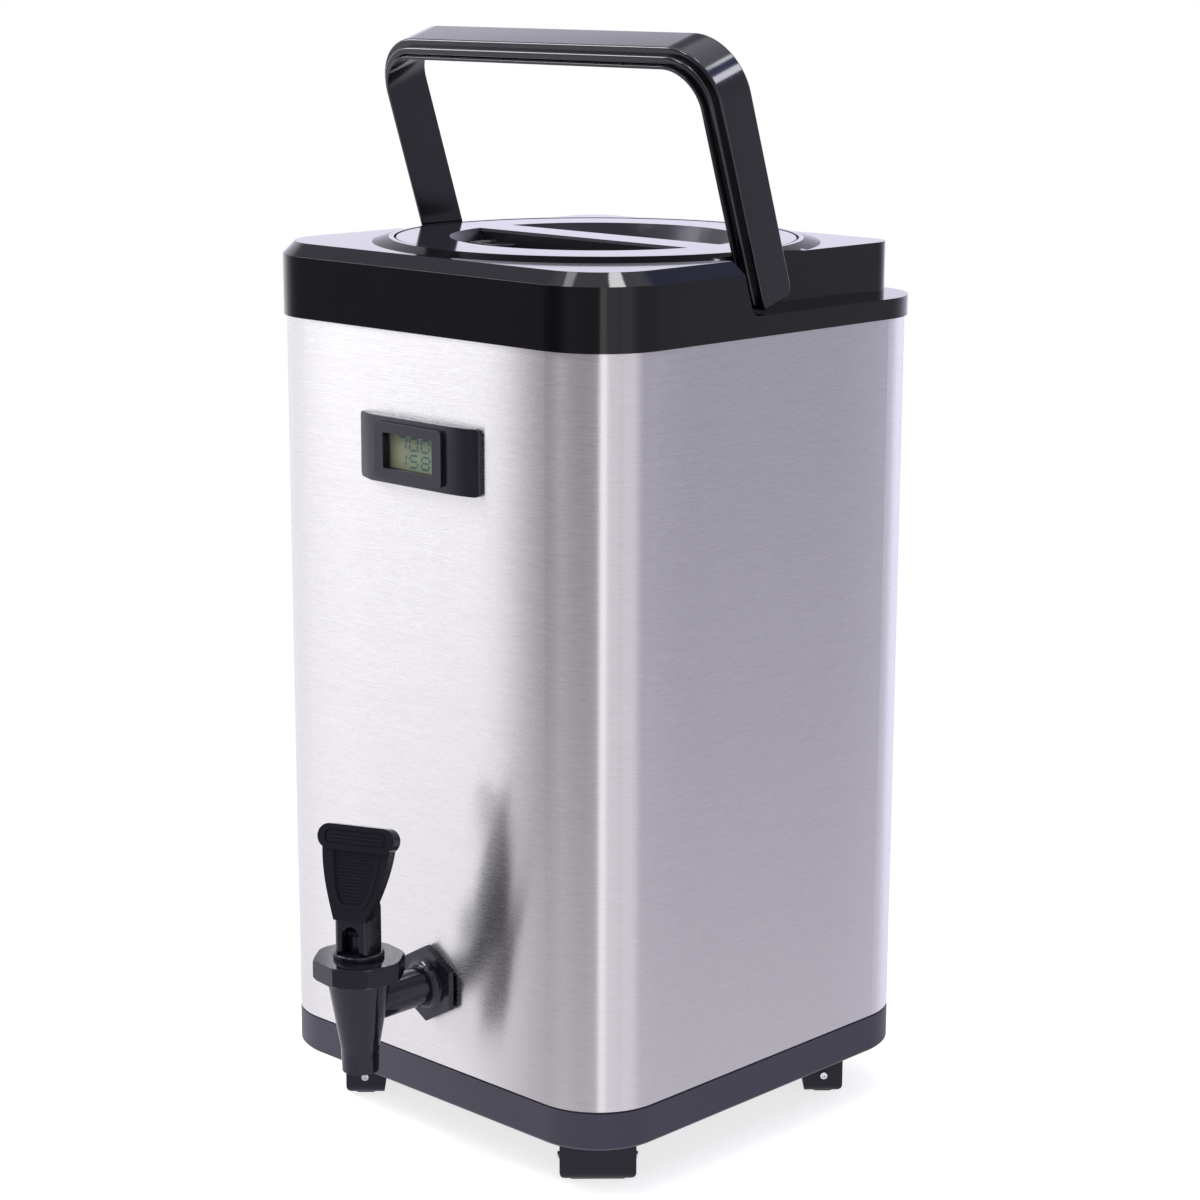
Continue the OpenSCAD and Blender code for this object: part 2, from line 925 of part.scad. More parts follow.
module handle_bail() {
    color("#1b1b1f")
        at_pivot()
            difference() {
                union() {
                    handle_trim(inner_d) {
                        front_slab(-half_w, handle_w)
                            handle_outline(0);
                        front_slab(-half_w - step_out, half_w + step_out)
                            handle_outline(band_t);
                    }
                    both_sides()
                        rod_x(boss_r, boss_in, handle_half - inner_d / 2);
                }
                both_sides()
                    rod_x(pin_r + run_fit, boss_in - through, pin_tip + move_gap);
            }
}

module handle_cover() {
    color("#232327")
        at_pivot()
            difference() {
                handle_trim(handle_t)
                    front_slab(-handle_front, handle_front + half_w)
                        handle_outline(inner_d);
                both_sides()
                    rod_x(boss_r, boss_in - through, handle_half);
            }
}

// Lid

// Hollow of the dish, shrunk by an inset
module dish_hollow(inset) {
    rotate_extrude()
        polygon([
            [0, dish_z], [dish_floor_r - inset, dish_z], [dish_r - inset, lid_top_z], [0, lid_top_z]]);
}

// Grip bar across the dish
module grip_bar() {
    half = grip_w / 2;
    intersection() {
        dish_hollow(0);
        rotate([90, 0, 90])
            linear_extrude(far, center = true)
                polygon([
                    [-half, dish_z], [half, dish_z], [half, lid_top_z - grip_edge],
                    [half - grip_edge, lid_top_z], [grip_edge - half, lid_top_z],
                    [-half, lid_top_z - grip_edge]]);
    }
}

// Hollow inside the grip bar, open below
module grip_core() {
    half = grip_w / 2 - lid_skin;
    length = 2 * (dish_floor_r - lid_skin);
    translate([-length / 2, -half, dish_z - lid_skin])
        cube([length, 2 * half, dish_depth]);
}

// Post under the vent lever with two ears for its pin
module vent_post() {
    back = -vent_hinge_x - vent_knuckle_r;
    front = vent_hole_x + 2 * vent_tube_r;
    ear_y = vent_w / 2 + move_gap;
    translate([back, vent_y - vent_w / 2, dish_z - lid_skin / 2])
        cube([front - back - vent_tube_r, vent_w, vent_post_z - dish_z + lid_skin / 2]);
    for (side = [0, 1])
        translate([-vent_hinge_x, vent_y, 0])
            mirror([0, side, 0])
                difference() {
                    union() {
                        translate([-vent_knuckle_r, ear_y, dish_z - lid_skin / 2])
                            cube([2 * vent_knuckle_r, vent_ear_t, vent_hinge_z - dish_z + lid_skin / 2]);
                        translate([0, 0, vent_hinge_z])
                            rod_y(vent_knuckle_r, ear_y, ear_y + vent_ear_t);
                    }
                    translate([0, 0, vent_hinge_z])
                        rod_y(vent_pin_r, 0, far);
                }
}

module lid_top() {
    color("#141417")
        difference() {
            union() {
                rotate_extrude()
                    polygon([
                        [0, dish_z - lid_skin], [dish_floor_r + lid_skin, dish_z - lid_skin],
                        [dish_r + lid_skin, lid_top_z - lid_skin],
                        [lid_r - lid_skin, lid_top_z - lid_skin], [lid_r - lid_skin, seat_z],
                        [lid_r, seat_z], [lid_r, lid_top_z - lid_edge], [lid_r - lid_edge, lid_top_z],
                        [dish_r, lid_top_z], [dish_floor_r, dish_z], [0, dish_z]]);
                grip_bar();
                vent_post();
            }
            grip_core();
            translate([vent_hole_x, vent_y, 0])
                cylinder(h = far, r = vent_hole_r);
        }
}

module lid_plug() {
    color("#1c1c20")
        difference() {
            union() {
                ring(plug_r, plug_r - lid_skin, plug_z, seat_z);
                translate([0, 0, plug_z])
                    cylinder(h = lid_skin, r = plug_r);
                ring(lid_r - lid_skin, plug_r - lid_skin, seat_z, seat_z + lid_skin);
            }
            ring(plug_r + through, plug_r - seal_groove, seal_z - seal_h / 2, seal_z + seal_h / 2);
            translate([vent_hole_x, vent_y, plug_z - through])
                cylinder(h = 3 * through, r = vent_tube_r);
        }
}

module lid_insulation() {
    bore = plug_r - lid_skin;
    color("#efefe8")
        difference() {
            union() {
                rotate_extrude()
                    polygon([
                        [0, plug_z + lid_skin], [bore, plug_z + lid_skin], [bore, seat_z + lid_skin],
                        [lid_r - lid_skin, seat_z + lid_skin],
                        [lid_r - lid_skin, lid_top_z - lid_skin],
                        [dish_r + lid_skin, lid_top_z - lid_skin],
                        [dish_floor_r + lid_skin, dish_z - lid_skin], [0, dish_z - lid_skin]]);
                grip_core();
            }
            translate([vent_hole_x, vent_y, plug_z])
                cylinder(h = far, r = vent_tube_r);
        }
}

module lid_seal() {
    color("#e4e4e0")
        ring(seal_r, plug_r - seal_groove, seal_z - seal_h / 2, seal_z + seal_h / 2);
}

module vent_tube() {
    color("#d8d8d8")
        translate([vent_hole_x, vent_y, 0])
            ring(vent_tube_r, vent_hole_r, plug_z, dish_z - lid_skin);
}

module vent_pin() {
    reach = vent_w / 2 + move_gap + vent_ear_t;
    color("#b4b4b8")
        translate([-vent_hinge_x, vent_y, vent_hinge_z])
            rod_y(vent_pin_r, -reach, reach);
}

module vent_lever() {
    color("#33333a")
        translate([-vent_hinge_x, vent_y, vent_hinge_z])
            difference() {
                union() {
                    rod_y(vent_knuckle_r, -vent_w / 2, vent_w / 2);
                    translate([0, 0, -vent_t / 2])
                        linear_extrude(vent_t) {
                            translate([0, -vent_w / 2])
                                square([vent_len - vent_w / 2, vent_w]);
                            translate([vent_len - vent_w / 2, 0])
                                circle(vent_w / 2);
                        }
                }
                rod_y(vent_pin_r + run_fit, -far, far);
            }
}

module vent_stopper() {
    color("#8a8a90")
        translate([vent_hole_x, vent_y, vent_post_z])
            cylinder(h = vent_pad_t, r = vent_tube_r);
}

// Tap

// The spout before its bores
module spout_solid() {
    at_spout()
        rotate_extrude()
            polygon([
                [0, spout_z], [spout_end_r, spout_z], [spout_kink_r, kink_z],
                [spout_top_r, bonnet_z], [body_rim_r, bonnet_z],
                [body_rim_r, bonnet_roof_z], [0, bonnet_roof_z]]);
}

// Water's way in from the vessel
module water_way() {
    at_shank()
        rod_y(water_r, tap_y, tail_end_y + through);
}

module tap_body() {
    color("#19191c")
        difference() {
            spout_solid();
            at_spout() {
                translate([0, 0, valve_seat_z])
                    cylinder(h = far, r = chamber_r);
                translate([0, 0, spout_z - through])
                    cylinder(h = far, r = outlet_r);
            }
            water_way();
        }
}

// Hollow curve from the shank out to its flange
module flange_flare() {
    steps = 5;
    curve = [
        for (i = [0 : steps])
            let (a = 90 * i / steps)
                [shank_r + flare_r * (1 - sin(a)), flare_r * (1 - cos(a))]];
    rotate_extrude()
        polygon(concat([[0, 0]], curve, [[0, flare_r]]));
}

module tap_shank() {
    flange_front = flange_y - flange_t;
    color("#1b1b1e")
        difference() {
            at_shank() {
                rod_y(shank_r, tap_y, flange_front);
                translate([0, flange_front, 0])
                    rotate([90, 0, 0])
                        flange_flare();
                hex_y(flange_af, flange_front, flange_y);
                rod_y(tail_r, flange_front, tail_end_y);
            }
            spout_solid();
            water_way();
        }
}

// Flat rubber ring on the tail
module tail_gasket(outer, y0) {
    color("#101012")
        at_shank()
            difference() {
                rod_y(outer, y0, y0 + gasket_t);
                rod_y(tail_r, y0 - through, y0 + gasket_t + through);
            }
}

module tap_outer_gasket() {
    tail_gasket(flange_af / 2 - 1.5, flange_y);
}

module tap_inner_gasket() {
    tail_gasket(nut_af / 2, -liner_in);
}

module tap_lock_nut() {
    y0 = gasket_t - liner_in;
    color("#d0d0d2")
        at_shank()
            difference() {
                hex_y(nut_af, y0, y0 + nut_t);
                rod_y(tail_r, y0 - through, y0 + nut_t + through);
            }
}

module tap_bonnet() {
    corner_r = bonnet_af / 2 / cos(22.5);
    bevel = 1;
    color("#1d1d21")
        at_spout()
            difference() {
                union() {
                    intersection() {
                        translate([0, 0, bonnet_z])
                            rotate(22.5 + bonnet_turn)
                                cylinder(h = bonnet_h, r = corner_r, $fn = 8);
                        rotate_extrude()
                            polygon([
                                [0, bonnet_z], [corner_r - bevel, bonnet_z],
                                [corner_r, bonnet_z + bevel], [corner_r, bonnet_top_z - bevel],
                                [corner_r - bevel, bonnet_top_z], [0, bonnet_top_z]]);
                    }
                    translate([0, 0, bonnet_roof_z])
                        cylinder(h = bonnet_top_z - bonnet_roof_z + spigot_h, r = spigot_r);
                }
                translate([0, 0, bonnet_z - through])
                    cylinder(h = bonnet_roof_z - bonnet_z + through, r = body_rim_r);
                translate([0, 0, bonnet_z])
                    cylinder(h = far, r = stem_bore_r);
            }
}

// A sealed inner spring, kept as a plain sleeve
module tap_spring() {
    color("#a8a8ac")
        at_spout()
            ring(cup_r - 1.6, stem_r + 0.6, spring_z, bonnet_roof_z);
}

module lever_ring() {
    bevel = 0.6;
    bore = stem_bore_r + 0.2;
    recess_r = spigot_r + run_fit;
    recess_z = bonnet_top_z + spigot_h + fit_gap;
    color("#18181b")
        at_spout()
            rotate_extrude()
                polygon([
                    [recess_r, bonnet_top_z], [ring_r, bonnet_top_z], [ring_r, ring_top_z - bevel],
                    [ring_r - bevel, ring_top_z], [bore, ring_top_z], [bore, recess_z],
                    [recess_r, recess_z]]);
}

module valve_stem() {
    stem_z = valve_seat_z + 3;
    flange_z = valve_seat_z + cup_h;
    flats_z = bonnet_top_z - 1;
    color("#1a1a1d")
        at_lever()
            difference() {
                union() {
                    translate([0, 0, stem_z])
                        cylinder(h = flats_z - stem_z, r = stem_r);
                    translate([0, 0, flange_z])
                        cylinder(h = stem_flange_t, r = cup_r - 0.6);
                    intersection() {
                        translate([0, 0, stem_z])
                            cylinder(h = lever_pin_z - stem_z, r = stem_r);
                        translate([-eye_t / 2, -stem_r, stem_z])
                            cube([eye_t, 2 * stem_r, far]);
                    }
                    translate([0, 0, lever_pin_z])
                        rod_x(eye_r, -eye_t / 2, eye_t / 2);
                }
                translate([0, 0, lever_pin_z])
                    rod_x(lever_pin_r + run_fit, -far, far);
            }
}

module seat_cup() {
    bevel = 1.2;
    color("#e2e2e2")
        at_spout()
            difference() {
                rotate_extrude()
                    polygon([
                        [0, valve_seat_z], [cup_r - bevel, valve_seat_z],
                        [cup_r, valve_seat_z + bevel], [cup_r, valve_seat_z + cup_h],
                        [0, valve_seat_z + cup_h]]);
                translate([0, 0, valve_seat_z + 3])
                    cylinder(h = far, r = stem_r);
            }
}

// Tap lever

// Half width of the paddle at a height: narrow at the neck, full at the roll
function paddle_half(z) =
    (paddle_foot_w + (paddle_w - paddle_foot_w) * sin(90 * (z - lip_z) / (roll_z - lip_z))) / 2;
// Half width of the thumb recess, from its round foot to its straight top
function thumb_half(t) = thumb_w / 2 * pow(t, 0.24);

// Front view of the paddle
module paddle_outline() {
    steps = 20;
    levels = [for (i = [0 : steps]) lip_z + (roll_z - lip_z) * i / steps];
    right = [for (z = levels) [paddle_half(z), z]];
    left = [for (i = [steps : -1 : 0]) [-paddle_half(levels[i]), levels[i]]];
    polygon(concat(right, left));
}

// Front view of the thumb recess, grown by its rim
module thumb_outline(rim) {
    steps = 14;
    shares = [for (i = [1 : steps]) pow(i / steps, 3)];
    low = thumb_z - rim;
    tall = thumb_h + rim;
    right = [for (t = shares) [thumb_half(t) + rim, low + tall * t]];
    left = [for (i = [steps - 1 : -1 : 0]) [-thumb_half(shares[i]) - rim, low + tall * shares[i]]];
    polygon(concat(right, left));
}

// Leans the paddle and its roll back about the paddle's foot
module at_paddle() {
    translate([0, paddle_y, lip_z])
        rotate([-paddle_lean, 0, 0])
            translate([0, -paddle_y, -lip_z])
                children();
}

// Side view of the lever's neck and the web behind the paddle
module neck_side() {
    half = neck_d / 2;
    low = foot_z + lever_foot_r;
    back = paddle_y + paddle_t;
    web_h = 16;
    web_back = web_h * tan(paddle_lean);
    translate([lever_foot_r - half, foot_z])
        square([neck_d - 2 * lever_foot_r, lever_foot_r]);
    for (side = [-1, 1])
        translate([side * (half - lever_foot_r), low])
            circle(lever_foot_r);
    polygon([
        [-half, low], [half, low], [half, lip_z - lever_foot_r], [back + web_back, lip_z + web_h],
        [-half + web_back, lip_z + web_h], [-half, lip_z]]);
}

module tap_lever() {
    ridge_count = 3;
    ridge_h = 1.1;
    inset_w = roll_w - 7;
    inset_h = roll_h - 4.4;
    inset_depth = 1;
    ridge_pitch = inset_h / (ridge_count + 1);
    rib_t = rib_pitch / 2;
    arch_z = lip_z - 3 - slot_w / 2;
    color("#1a1a1e")
        at_lever() {
            difference() {
                union() {
                    intersection() {
                        rotate([90, 0, 90])
                            linear_extrude(neck_w, center = true)
                                neck_side();
                        linear_extrude(far)
                            rounded_plan(neck_w, neck_d, neck_corner_r);
                    }
                    at_paddle() {
                        front_slab(paddle_y, paddle_t)
                            paddle_outline();
                        front_slab(paddle_y - thumb_rim_h, paddle_t)
                            thumb_outline(thumb_rim_w);
                        front_slab(roll_y, roll_d)
                            translate([0, roll_z])
                                obround(roll_w, roll_h);
                    }
                }
                front_slab(-far / 2, far)
                    translate([0, arch_z])
                        circle(slot_w / 2);
                front_slab(-far / 2, far)
                    translate([-slot_w / 2, foot_z - through])
                        square([slot_w, arch_z - foot_z + through]);
                translate([0, 0, lever_pin_z])
                    rod_x(lever_pin_r, -lever_pin_half, lever_pin_half);
                at_paddle() {
                    front_slab(paddle_y - through, thumb_depth + through)
                        thumb_outline(0);
                    front_slab(roll_y - through, inset_depth + through)
                        translate([0, roll_z])
                            obround(inset_w, inset_h);
                }
            }
            at_paddle() {
                front_slab(paddle_y + thumb_depth / 2, thumb_depth)
                    intersection() {
                        thumb_outline(0);
                        for (i = [1 : thumb_ribs])
                            translate([-thumb_w / 2, thumb_z + i * rib_pitch - rib_t / 2])
                                square([thumb_w, rib_t]);
                    }
                for (i = [1 : ridge_count])
                    front_slab(roll_y + inset_depth / 3, inset_depth)
                        translate([0, roll_z - inset_h / 2 + i * ridge_pitch])
                            obround(inset_w - 2 * ridge_pitch, ridge_h);
            }
        }
}

module lever_pin() {
    color("#c2c2c6")
        at_lever()
            translate([0, 0, lever_pin_z])
                rod_x(lever_pin_r, -lever_pin_half, lever_pin_half);
}

// Thermometer

// Front view of a rounded plate at the thermometer's height
module gauge_plate(x, w, h, r, out, depth) {
    front_slab(wall_y - out, depth)
        translate([x, gauge_z])
            rounded_plan(w, h, r);
}

// Plan of the housing: a bevel at the left, a flat, and a curve back to the wall at the right
module gauge_plan() {
    steps = 12;
    curve = [for (i = [0 : steps]) let (a = 90 * i / steps) [
        gauge_flat_right + (gauge_right - gauge_flat_right) * sin(a),
        wall_y - gauge_edge_t - (gauge_t - gauge_edge_t) * cos(a)]];
    polygon(concat(
        [[gauge_left, wall_y], [gauge_left, wall_y - gauge_edge_t], [gauge_flat_left, wall_y - gauge_t]],
        curve,
        [[gauge_right, wall_y]]));
}

module thermometer_housing() {
    wall = gauge_box_wall;
    color("#2a2a30")
        difference() {
            union() {
                intersection() {
                    translate([0, 0, gauge_z - gauge_h / 2])
                        linear_extrude(gauge_h)
                            gauge_plan();
                    gauge_plate(
                        (gauge_left + gauge_right) / 2, gauge_w, gauge_h, gauge_corner_r, far, 2 * far);
                }
                gauge_box(0);
            }
            translate([
                    wall - gauge_box_w / 2, wall_y + gauge_skin - gauge_t,
                    gauge_z + wall - gauge_box_h / 2])
                cube([
                    gauge_box_w - 2 * wall, gauge_t - gauge_skin + gauge_box_d - wall,
                    gauge_box_h - 2 * wall]);
            translate([bezel_x - window_w / 2, wall_y - far, gauge_z - window_h / 2])
                cube([window_w, far, window_h]);
            translate([0, 0, gauge_z])
                rod_y(probe_r, wall_y, far);
        }
}

module thermometer_bezel() {
    color("#212126")
        difference() {
            gauge_plate(bezel_x, bezel_w, bezel_h, bezel_r, gauge_t + bezel_t, bezel_t);
            gauge_plate(bezel_x, window_w, window_h, 0.6, far, 2 * far);
        }
}

module lcd_panel() {
    color("#8d9c90")
        gauge_plate(bezel_x, window_w + lcd_lap, window_h + lcd_lap / 2, 0.5, gauge_t - gauge_skin, lcd_t);
}

module lcd_window() {
    color("#cfd8d4")
        gauge_plate(
            bezel_x, window_w - fit_gap, window_h - fit_gap, 0.5, gauge_t - gauge_skin + lens_t, lens_t);
}

module circuit_board() {
    color("#2f5d3a")
        gauge_plate(
            0, gauge_box_w - 2 * gauge_box_wall - 2, gauge_box_h - 2 * gauge_box_wall - 1, 0.5,
            gauge_t - gauge_skin - lcd_t, board_t);
}

module battery_cell() {
    cell_y = wall_y - gauge_t + gauge_skin + lcd_t + board_t;
    color("#b0b0b4")
        translate([-gauge_box_w / 4, 0, gauge_z])
            rod_y(cell_r, cell_y, cell_y + cell_t);
}

module temperature_probe() {
    color("#a9a9ae")
        translate([0, 0, gauge_z]) {
            rod_y(probe_r, wall_y + gauge_box_d - 2 * gauge_box_wall, -liner_half);
            rod_y(probe_foot_r, -liner_half - probe_foot_t, -liner_half);
        }
}

outer_shell();
inner_liner();
foam_base();
foam_jacket();
foam_crown();
top_collar();
mouth_seal();
handle_pins();
base_tray();
base_screws();
foot_front_left();
foot_front_right();
foot_back_left();
foot_back_right();
foot_pads();
foot_bolts();
handle_bail();
handle_cover();
lid_top();
lid_plug();
lid_insulation();
lid_seal();
vent_tube();
vent_pin();
vent_lever();
vent_stopper();
tap_body();
tap_shank();
tap_outer_gasket();
tap_inner_gasket();
tap_lock_nut();
tap_bonnet();
tap_spring();
lever_ring();
valve_stem();
seat_cup();
tap_lever();
lever_pin();
thermometer_housing();
thermometer_bezel();
lcd_panel();
lcd_window();
circuit_board();
battery_cell();
temperature_probe();
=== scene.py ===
# Looks of the insulated beverage dispenser: a brushed steel box with gloss black trim.
import json
import math

import bmesh
import bpy
from mathutils import Matrix, Vector


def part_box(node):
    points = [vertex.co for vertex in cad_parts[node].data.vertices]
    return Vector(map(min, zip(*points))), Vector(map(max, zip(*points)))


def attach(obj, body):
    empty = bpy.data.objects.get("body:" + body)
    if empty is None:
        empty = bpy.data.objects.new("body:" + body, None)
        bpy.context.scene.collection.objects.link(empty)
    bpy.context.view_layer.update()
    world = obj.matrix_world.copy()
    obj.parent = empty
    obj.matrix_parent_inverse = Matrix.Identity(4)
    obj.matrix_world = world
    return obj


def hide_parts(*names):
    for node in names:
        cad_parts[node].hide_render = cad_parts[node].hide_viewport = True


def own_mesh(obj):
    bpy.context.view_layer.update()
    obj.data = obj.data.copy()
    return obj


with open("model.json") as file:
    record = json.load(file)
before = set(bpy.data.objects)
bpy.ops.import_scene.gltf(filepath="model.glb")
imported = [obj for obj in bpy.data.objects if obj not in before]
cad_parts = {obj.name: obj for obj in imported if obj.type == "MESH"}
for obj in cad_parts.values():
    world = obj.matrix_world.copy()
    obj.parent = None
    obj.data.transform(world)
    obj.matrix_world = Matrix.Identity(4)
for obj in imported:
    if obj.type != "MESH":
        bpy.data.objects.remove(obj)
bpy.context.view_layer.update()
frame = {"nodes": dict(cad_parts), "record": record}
scene = bpy.context.scene
scene.view_settings.view_transform = "Standard"

# Camera
CAMERA_PLACE = (0.96369, -0.99372, 0.5613)
CAMERA_AZIMUTH = 44.027
CAMERA_ELEVATION = 12.612
CAMERA_ROLL = 0.172
CAMERA_LENS = 86.607
SENSOR_WIDTH = 36


def place_camera():
    """Sets the camera at the photograph's angle, with its slight roll."""
    az = math.radians(CAMERA_AZIMUTH)
    el = math.radians(CAMERA_ELEVATION)
    roll = math.radians(CAMERA_ROLL)
    back = Vector((math.sin(az) * math.cos(el), -math.cos(az) * math.cos(el), math.sin(el)))
    level = Vector((math.cos(az), math.sin(az), 0))
    upright = back.cross(level)
    right = level * math.cos(roll) + upright * math.sin(roll)
    up = upright * math.cos(roll) - level * math.sin(roll)
    turned = Matrix((right, up, back)).transposed().to_4x4()
    data = bpy.data.cameras.new("photo_camera")
    data.lens = CAMERA_LENS
    data.sensor_width = SENSOR_WIDTH
    camera = bpy.data.objects.new("photo_camera", data)
    camera.matrix_world = Matrix.Translation(CAMERA_PLACE) @ turned
    scene.collection.objects.link(camera)
    scene.camera = camera


# Shader maths

class Wire:
    """A socket that gives a value; maths on it adds Math nodes."""

    def __init__(self, sheet, socket):
        self.sheet = sheet
        self.socket = socket

    def maths(self, operation, *values):
        inputs = dict(enumerate(values))
        return self.sheet.node("ShaderNodeMath", {"operation": operation}, inputs)

    def __add__(self, other):
        return self.maths("ADD", self, other)

    def __radd__(self, other):
        return self.maths("ADD", other, self)

    def __sub__(self, other):
        return self.maths("SUBTRACT", self, other)

    def __rsub__(self, other):
        return self.maths("SUBTRACT", other, self)

    def __mul__(self, other):
        return self.maths("MULTIPLY", self, other)

    def __rmul__(self, other):
        return self.maths("MULTIPLY", other, self)

    def between(self, low, high):
        """Rises smoothly from 0 at low to 1 at high."""
        return self.sheet.node("ShaderNodeMapRange", {"interpolation_type": "SMOOTHSTEP"},
                               {"Value": self, "From Min": low, "From Max": high})


class Sheet:
    """The nodes of one material or of the world."""

    def __init__(self, owner):
        owner.use_nodes = True
        self.tree = owner.node_tree
        self.tree.nodes.clear()

    def node(self, kind, settings=None, inputs=None, output=0):
        """Adds a node: its settings first, then the values or links of its sockets."""
        made = self.tree.nodes.new(kind)
        for name, value in (settings or {}).items():
            if name == "stops":
                self.set_stops(made.color_ramp, value)
            else:
                setattr(made, name, value)
        for name, value in (inputs or {}).items():
            if isinstance(value, Wire):
                self.tree.links.new(value.socket, made.inputs[name])
            else:
                made.inputs[name].default_value = value
        return Wire(self, made.outputs[output]) if len(made.outputs) else None

    def set_stops(self, ramp, stops):
        """Sets a ramp's stops, each a place from 0 to 1 and a colour."""
        while len(ramp.elements) < len(stops):
            ramp.elements.new(1)
        for element, (position, tone) in zip(ramp.elements, stops):
            element.position = position
            element.color = colour(tone)

    def mix(self, factor, first, second):
        """A colour between two colours."""
        settings = {"data_type": "RGBA"}
        return self.node("ShaderNodeMix", settings, {0: factor, 6: colour(first), 7: colour(second)}, 2)

    def place(self):
        """The point on the piece, in metres, in the piece's own frame."""
        return self.node("ShaderNodeTexCoord", output="Object")

    def axes(self, vector):
        """The three numbers of a vector."""
        split = self.node("ShaderNodeSeparateXYZ", inputs={0: vector}).socket.node
        return [Wire(self, socket) for socket in split.outputs]

    def noise(self, fineness, detail=2.0, roughness=0.5):
        """Cloudy noise; fineness is in waves a metre, one number or one for each axis."""
        steps = fineness if isinstance(fineness, tuple) else (fineness,) * 3
        point = self.node("ShaderNodeMapping", {"vector_type": "POINT"},
                          {"Vector": self.place(), "Scale": steps})
        return self.node("ShaderNodeTexNoise", {},
                         {"Vector": point, "Scale": 1.0, "Detail": detail, "Roughness": roughness})

    def ray_is(self, kind):
        """1 for rays of one kind, such as those straight from the camera, and 0 for others."""
        return self.node("ShaderNodeLightPath", output=f"Is {kind} Ray")

    def bump(self, height, strength, distance, normal=None):
        """The normal over a height; strength is a share, distance is in metres."""
        inputs = {"Height": height, "Strength": strength, "Distance": distance}
        if normal:
            inputs["Normal"] = normal
        return self.node("ShaderNodeBump", {}, inputs)

    def facing(self):
        """Which way the surface faces, in the piece's own frame."""
        return self.node("ShaderNodeTexCoord", output="Normal")

    def surface(self, **sockets):
        """Ends the material in one Principled shader; a socket's name is given with _ for spaces."""
        inputs = {name.replace("_", " "): value for name, value in sockets.items()}
        shader = self.node("ShaderNodeBsdfPrincipled", {}, inputs)
        self.node("ShaderNodeOutputMaterial", {}, {"Surface": shader})


def colour(value):
    """A colour with its alpha; a linked colour stays as it is."""
    return (*value, 1) if isinstance(value, tuple) and len(value) == 3 else value


def material(name):
    """A new material and the sheet for its nodes."""
    made = bpy.data.materials.new(name)
    return made, Sheet(made)


# Finishes

# The folded sheet is flat to SHEET_FLAT from its middle; its normal leans by SHEET_BOW at SHEET_BEND
SHEET_FLAT = 0.03
SHEET_BEND = 0.0803
SHEET_BOW = 0.16


def bowed_normal(sheet):
    """The folded sheet's normal: it starts to turn a little before each corner's bend."""
    turns = []
    for along in sheet.axes(sheet.place())[:2]:
        reach = sheet.node("ShaderNodeMapRange", {}, {
            "Value": along.maths("ABSOLUTE", along), "From Min": SHEET_FLAT, "From Max": SHEET_BEND})
        turns.append(along.maths("SIGN", along) * reach * reach * SHEET_BOW)
    turn = sheet.node("ShaderNodeCombineXYZ", {}, {0: turns[0], 1: turns[1]})
    bent = sheet.node("ShaderNodeVectorMath", {"operation": "ADD"},
                      {0: sheet.node("ShaderNodeNewGeometry", output="Normal"), 1: turn})
    return sheet.node("ShaderNodeVectorMath", {"operation": "NORMALIZE"}, {0: bent})


def brushed_steel():
    """Stainless sheet brushed level all round: fine grain, long streaks, faint smudges."""
    made, sheet = material("brushed_steel")
    hairline = sheet.noise((150, 150, 2600), 2.0, 0.7)
    streak = sheet.noise((30, 30, 1500), 3.0, 0.6)
    smudge = sheet.noise(14, 3.0, 0.55)
    tone = (hairline * 0.7 + streak * 0.3).between(0.25, 0.75)
    steel = sheet.mix(tone, (0.735, 0.715, 0.735), (0.825, 0.81, 0.83))
    rough = 0.23 + tone * 0.04 + smudge * 0.03
    grain = sheet.bump(hairline * 0.6 + streak * 0.4, 0.1, 0.00005, bowed_normal(sheet))
    sheet.surface(
        Base_Color=steel, Metallic=1.0, Roughness=rough,
        Anisotropic=0.93, Anisotropic_Rotation=0.25, Normal=grain)
    return made


COOL_SHEEN = (1, 0.97, 1.2, 1)
# Roughness that a moulding's bare walls have on top of its own
BARE_ROUGH = 0.3


def moulding_marks(sheet):
    """A moulding's slight mottle and its fine handling scuffs."""
    mottle = sheet.noise(26, 3.0)
    scuff = sheet.noise((310, 900, 520), 4.0, 0.7).between(0.56, 0.74)
    return mottle, scuff


def plastic(name, deep, pale, rough, shine, grain=0.05):
    """Moulded plastic: a slight mottle, soft flow waves and fine handling scuffs."""
    made, sheet = material(name)
    mottle, scuff = moulding_marks(sheet)
    wave = sheet.noise(95, 2.0)
    pore = sheet.noise(2600, 2.0, 0.6)
    sheet.surface(
        Base_Color=sheet.mix(mottle, deep, pale),
        Roughness=rough + mottle * 0.05 + scuff * 0.06,
        Specular_IOR_Level=shine, Specular_Tint=COOL_SHEEN,
        Normal=sheet.bump(wave * 0.5 + pore * 0.5, grain, 0.00012))
    return made


